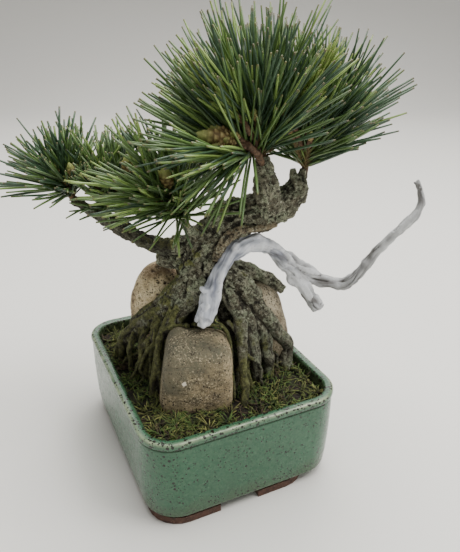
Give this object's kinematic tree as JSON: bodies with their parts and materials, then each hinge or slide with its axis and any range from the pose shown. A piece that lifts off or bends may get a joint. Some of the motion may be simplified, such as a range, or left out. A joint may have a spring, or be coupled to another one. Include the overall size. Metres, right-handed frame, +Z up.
{
  "type": "potted pine bonsai",
  "caption": "Miniature pine bonsai clasping rocks with its exposed roots, with a silvered deadwood limb, in a small green glazed rectangular pot with corner feet.",
  "frame": {"origin": "centre of the whole plant's box, at the level of the surface that the pot's feet stand on", "axes": "+Z up; X runs along the pot's short sides and Y along its long sides, the short side seen in the picture facing -Y"},
  "size_m": [0.1964, 0.1462, 0.2405],
  "materials": {
    "jade_glaze": "gloss",
    "bare_clay": "matte",
    "soil": "matte",
    "moss": "matte",
    "stone": "matte",
    "bark": "matte",
    "silver_wood": "matte",
    "needles": "satin"
  },
  "bodies": {
    "root": {"pot": "jade_glaze", "foot_front_left": "bare_clay", "foot_front_right": "bare_clay", "foot_back_left": "bare_clay", "foot_back_right": "bare_clay", "soil": "soil", "moss": "moss", "rock_front": "stone", "rock_left": "stone", "rock_right": "stone", "trunk": "bark", "bough_left_inner": "bark", "bough_left_outer": "bark", "bough_crown_left": "bark", "bough_crown_right": "bark", "shoot_middle": "bark", "deadwood_rise": "silver_wood", "deadwood_fall": "silver_wood", "deadwood_sweep": "silver_wood", "deadwood_tip": "silver_wood", "foliage_left_tip": "needles", "foliage_left_middle": "needles", "foliage_centre": "needles", "foliage_front": "needles", "foliage_crown_left": "needles", "foliage_crown_right": "needles"}
  },
  "joints": []
}
